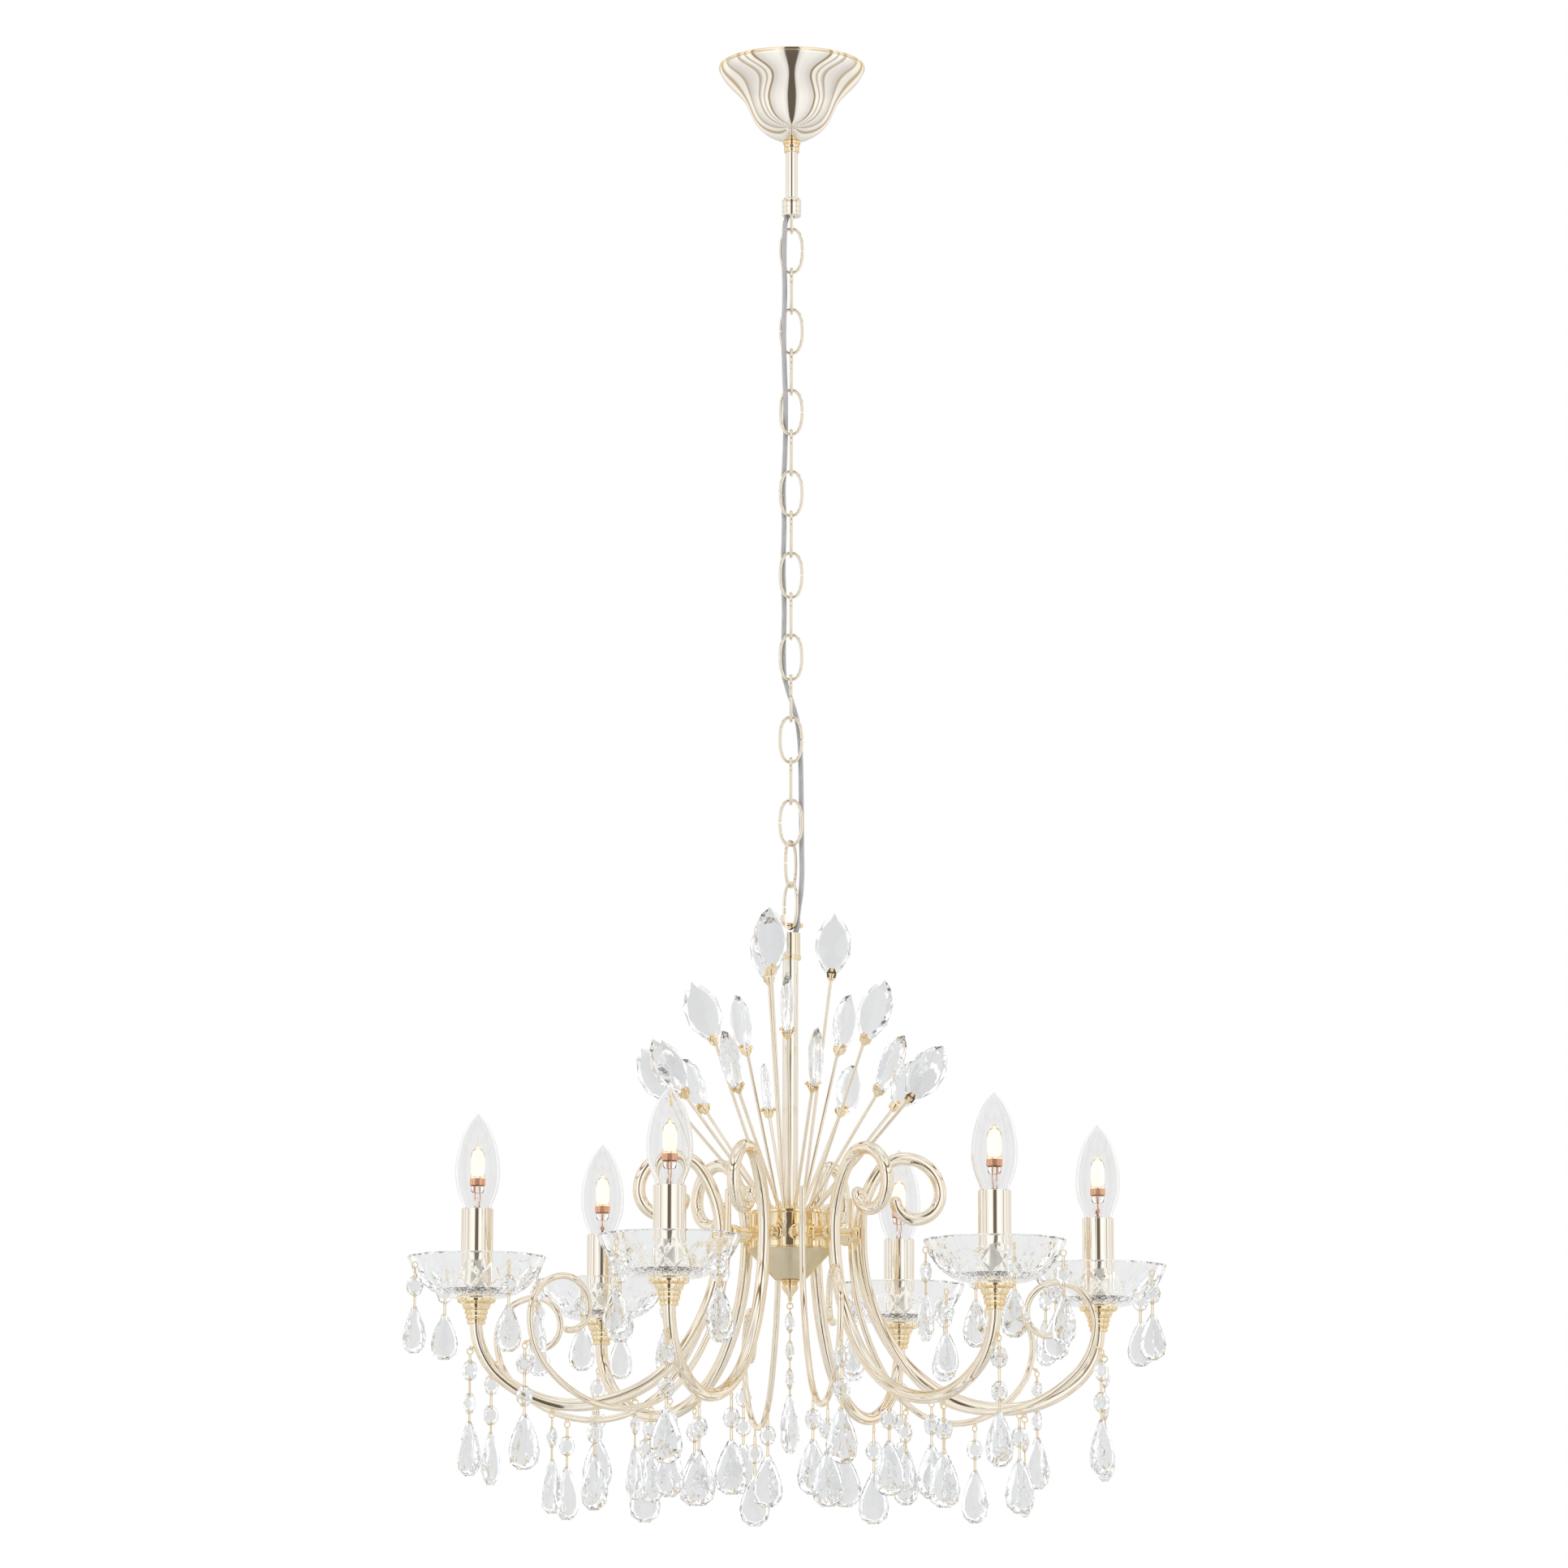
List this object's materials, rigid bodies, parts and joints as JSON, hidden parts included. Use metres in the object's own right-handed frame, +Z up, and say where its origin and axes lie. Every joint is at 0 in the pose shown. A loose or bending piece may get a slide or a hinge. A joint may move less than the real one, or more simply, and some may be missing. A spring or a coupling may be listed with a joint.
{
  "type": "multi arm chandelier",
  "caption": "Chain-hung metal chandelier with curved candle arms, glass drip dishes, candle bulbs, a spray of leaf crystals and hanging faceted drops.",
  "frame": {"origin": "centre of the ceiling bracket's top face, where it meets the ceiling, on the chandelier's axis", "axes": "+Z up towards the ceiling, +X to the right and -Y towards the viewer of the reference view; the object hangs below the origin"},
  "size_m": [0.5964, 0.5678, 1.1726],
  "materials": {
    "champagne_metal": "polished champagne gold plating",
    "gold_metal": "polished french gold plating",
    "zinc_steel": "zinc plated",
    "clear_crystal": "clear cut crystal",
    "clear_glass": "clear glass",
    "flex_pvc": "translucent smoky PVC",
    "holder_plastic": "white thermoplastic"
  },
  "bodies": {
    "ceiling": {"ceiling_bracket": "zinc_steel", "tube_nuts": "gold_metal", "terminal_block": "holder_plastic", "down_tube": "champagne_metal", "chain_coupler": "champagne_metal", "coupler_loop": "champagne_metal", "power_cord": "flex_pvc"},
    "ceiling_bell": {"canopy": "champagne_metal", "canopy_collar": "gold_metal"},
    "collar_screw": {"collar_screw": "zinc_steel"},
    "chain_link_01": {"chain_link_01": "champagne_metal"},
    "chain_link_02": {"chain_link_02": "champagne_metal"},
    "chain_link_03": {"chain_link_03": "champagne_metal"},
    "chain_link_04": {"chain_link_04": "champagne_metal"},
    "chain_link_05": {"chain_link_05": "champagne_metal"},
    "chain_link_06": {"chain_link_06": "champagne_metal"},
    "chain_link_07": {"chain_link_07": "champagne_metal"},
    "chain_link_08": {"chain_link_08": "champagne_metal"},
    "chain_link_09": {"chain_link_09": "champagne_metal"},
    "chain_link_10": {"chain_link_10": "champagne_metal"},
    "chain_link_11": {"chain_link_11": "champagne_metal"},
    "chain_link_12": {"chain_link_12": "champagne_metal"},
    "chain_link_13": {"chain_link_13": "champagne_metal"},
    "chain_link_14": {"chain_link_14": "champagne_metal"},
    "chain_link_15": {"chain_link_15": "champagne_metal"},
    "chain_link_16": {"chain_link_16": "champagne_metal"},
    "chain_link_17": {"chain_link_17": "champagne_metal"},
    "fixture": {"stem_head": "champagne_metal", "fork_pin": "gold_metal", "stem_tube": "champagne_metal", "hub_drum": "gold_metal", "hub_cone": "gold_metal", "hub_finial": "gold_metal", "hub_fasteners": "gold_metal", "leaf_stems": "champagne_metal", "leaf_claws": "gold_metal", "leaf_crystals": "clear_crystal", "arm_wiring": "flex_pvc", "main_arms": "champagne_metal", "scroll_arms": "champagne_metal", "arm_cups": "gold_metal", "glass_dishes": "clear_crystal", "candle_sleeves": "champagne_metal", "lampholders": "holder_plastic", "lower_drops": "clear_crystal", "scroll_drops": "clear_crystal", "dish_drops": "clear_crystal"},
    "bulb_1": {"bulb_1": "clear_glass"},
    "bulb_2": {"bulb_2": "clear_glass"},
    "bulb_3": {"bulb_3": "clear_glass"},
    "bulb_4": {"bulb_4": "clear_glass"},
    "bulb_5": {"bulb_5": "clear_glass"},
    "bulb_6": {"bulb_6": "clear_glass"},
    "centre_strand": {"centre_strand": "clear_crystal"},
    "arm_strand_1": {"arm_strand_1": "clear_crystal"},
    "arm_strand_2": {"arm_strand_2": "clear_crystal"},
    "arm_strand_3": {"arm_strand_3": "clear_crystal"},
    "arm_strand_4": {"arm_strand_4": "clear_crystal"},
    "arm_strand_5": {"arm_strand_5": "clear_crystal"},
    "arm_strand_6": {"arm_strand_6": "clear_crystal"}
  },
  "joints": [
    {"name": "bell_slide", "type": "slide", "parent": "ceiling", "child": "ceiling_bell", "axis": [0, 0, -1], "range_m": [0, 0.03]},
    {"name": "grub_screw_turn", "type": "hinge", "parent": "ceiling_bell", "child": "collar_screw", "pos_m": [0, 0, -0.0679], "axis": [0, -1, 0], "range_deg": [-360, 0]},
    {"name": "link_01_swing", "type": "hinge", "parent": "ceiling", "child": "chain_link_01", "pos_m": [0, 0, -0.1388], "axis": [0, 1, 0], "range_deg": [-25, 25], "deforming": ["power_cord"]},
    {"name": "link_02_swing", "type": "hinge", "parent": "chain_link_01", "child": "chain_link_02", "pos_m": [0, 0, -0.1723], "axis": [1, 0, 0], "range_deg": [-25, 25], "deforming": ["power_cord"]},
    {"name": "link_03_swing", "type": "hinge", "parent": "chain_link_02", "child": "chain_link_03", "pos_m": [0, 0, -0.2058], "axis": [0, -1, 0], "range_deg": [-25, 25], "deforming": ["power_cord"]},
    {"name": "link_04_swing", "type": "hinge", "parent": "chain_link_03", "child": "chain_link_04", "pos_m": [0, 0, -0.2393], "axis": [-1, 0, 0], "range_deg": [-25, 25], "deforming": ["power_cord"]},
    {"name": "link_05_swing", "type": "hinge", "parent": "chain_link_04", "child": "chain_link_05", "pos_m": [0, 0, -0.2728], "axis": [0, 1, 0], "range_deg": [-25, 25], "deforming": ["power_cord"]},
    {"name": "link_06_swing", "type": "hinge", "parent": "chain_link_05", "child": "chain_link_06", "pos_m": [0, 0, -0.3063], "axis": [1, 0, 0], "range_deg": [-25, 25], "deforming": ["power_cord"]},
    {"name": "link_07_swing", "type": "hinge", "parent": "chain_link_06", "child": "chain_link_07", "pos_m": [0, 0, -0.3398], "axis": [0, -1, 0], "range_deg": [-25, 25], "deforming": ["power_cord"]},
    {"name": "link_08_swing", "type": "hinge", "parent": "chain_link_07", "child": "chain_link_08", "pos_m": [0, 0, -0.3733], "axis": [-1, 0, 0], "range_deg": [-25, 25], "deforming": ["power_cord"]},
    {"name": "link_09_swing", "type": "hinge", "parent": "chain_link_08", "child": "chain_link_09", "pos_m": [0, 0, -0.4068], "axis": [0, 1, 0], "range_deg": [-25, 25], "deforming": ["power_cord"]},
    {"name": "link_10_swing", "type": "hinge", "parent": "chain_link_09", "child": "chain_link_10", "pos_m": [0, 0, -0.4403], "axis": [1, 0, 0], "range_deg": [-25, 25], "deforming": ["power_cord"]},
    {"name": "link_11_swing", "type": "hinge", "parent": "chain_link_10", "child": "chain_link_11", "pos_m": [0, 0, -0.4738], "axis": [0, -1, 0], "range_deg": [-25, 25], "deforming": ["power_cord"]},
    {"name": "link_12_swing", "type": "hinge", "parent": "chain_link_11", "child": "chain_link_12", "pos_m": [0, 0, -0.5073], "axis": [-1, 0, 0], "range_deg": [-25, 25], "deforming": ["power_cord"]},
    {"name": "link_13_swing", "type": "hinge", "parent": "chain_link_12", "child": "chain_link_13", "pos_m": [0, 0, -0.5408], "axis": [0, 1, 0], "range_deg": [-25, 25], "deforming": ["power_cord"]},
    {"name": "link_14_swing", "type": "hinge", "parent": "chain_link_13", "child": "chain_link_14", "pos_m": [0, 0, -0.5743], "axis": [0.9976, 0.0698, 0], "range_deg": [-25, 25], "deforming": ["power_cord"]},
    {"name": "link_15_swing", "type": "hinge", "parent": "chain_link_14", "child": "chain_link_15", "pos_m": [0, 0, -0.6078], "axis": [0, -1, 0], "range_deg": [-25, 25], "deforming": ["power_cord"]},
    {"name": "link_16_swing", "type": "hinge", "parent": "chain_link_15", "child": "chain_link_16", "pos_m": [0, 0, -0.6413], "axis": [-0.9945, 0.1045, 0], "range_deg": [-25, 25], "deforming": ["power_cord"]},
    {"name": "link_17_swing", "type": "hinge", "parent": "chain_link_16", "child": "chain_link_17", "pos_m": [0, 0, -0.6748], "axis": [0.4695, 0.8829, 0], "range_deg": [-25, 25], "deforming": ["power_cord"]},
    {"name": "fixture_swing", "type": "hinge", "parent": "chain_link_17", "child": "fixture", "pos_m": [0, 0, -0.7052], "axis": [-0.8192, -0.5736, 0], "range_deg": [-12, 12], "deforming": ["power_cord"]},
    {"name": "bulb_1_turn", "type": "hinge", "parent": "fixture", "child": "bulb_1", "pos_m": [0.1541, -0.19304, -0.935], "axis": [0, 0, 1], "range_deg": [0, 1080]},
    {"name": "bulb_2_turn", "type": "hinge", "parent": "fixture", "child": "bulb_2", "pos_m": [0.24422, 0.03694, -0.935], "axis": [0, 0, 1], "range_deg": [0, 1080]},
    {"name": "bulb_3_turn", "type": "hinge", "parent": "fixture", "child": "bulb_3", "pos_m": [0.09012, 0.22997, -0.935], "axis": [0, 0, 1], "range_deg": [0, 1080]},
    {"name": "bulb_4_turn", "type": "hinge", "parent": "fixture", "child": "bulb_4", "pos_m": [-0.1541, 0.19304, -0.935], "axis": [0, 0, 1], "range_deg": [0, 1080]},
    {"name": "bulb_5_turn", "type": "hinge", "parent": "fixture", "child": "bulb_5", "pos_m": [-0.24422, -0.03694, -0.935], "axis": [0, 0, 1], "range_deg": [0, 1080]},
    {"name": "bulb_6_turn", "type": "hinge", "parent": "fixture", "child": "bulb_6", "pos_m": [-0.09012, -0.22997, -0.935], "axis": [0, 0, 1], "range_deg": [0, 1080]},
    {"name": "centre_strand_swing", "type": "hinge", "parent": "fixture", "child": "centre_strand", "pos_m": [0, 0, -1.0055], "axis": [1, 0, 0], "range_deg": [-25, 25]},
    {"name": "arm_strand_1_swing", "type": "hinge", "parent": "fixture", "child": "arm_strand_1", "pos_m": [0.15691, -0.19655, -1.046], "axis": [0.7815, 0.6239, 0], "range_deg": [-20, 20]},
    {"name": "arm_strand_2_swing", "type": "hinge", "parent": "fixture", "child": "arm_strand_2", "pos_m": [0.24867, 0.03761, -1.046], "axis": [-0.1495, 0.9888, 0], "range_deg": [-20, 20]},
    {"name": "arm_strand_3_swing", "type": "hinge", "parent": "fixture", "child": "arm_strand_3", "pos_m": [0.09177, 0.23416, -1.046], "axis": [-0.9311, 0.3649, 0], "range_deg": [-20, 20]},
    {"name": "arm_strand_4_swing", "type": "hinge", "parent": "fixture", "child": "arm_strand_4", "pos_m": [-0.15691, 0.19655, -1.046], "axis": [-0.7815, -0.6239, 0], "range_deg": [-20, 20]},
    {"name": "arm_strand_5_swing", "type": "hinge", "parent": "fixture", "child": "arm_strand_5", "pos_m": [-0.24867, -0.03761, -1.046], "axis": [0.1495, -0.9888, 0], "range_deg": [-20, 20]},
    {"name": "arm_strand_6_swing", "type": "hinge", "parent": "fixture", "child": "arm_strand_6", "pos_m": [-0.09177, -0.23416, -1.046], "axis": [0.9311, -0.3649, 0], "range_deg": [-20, 20]}
  ]
}
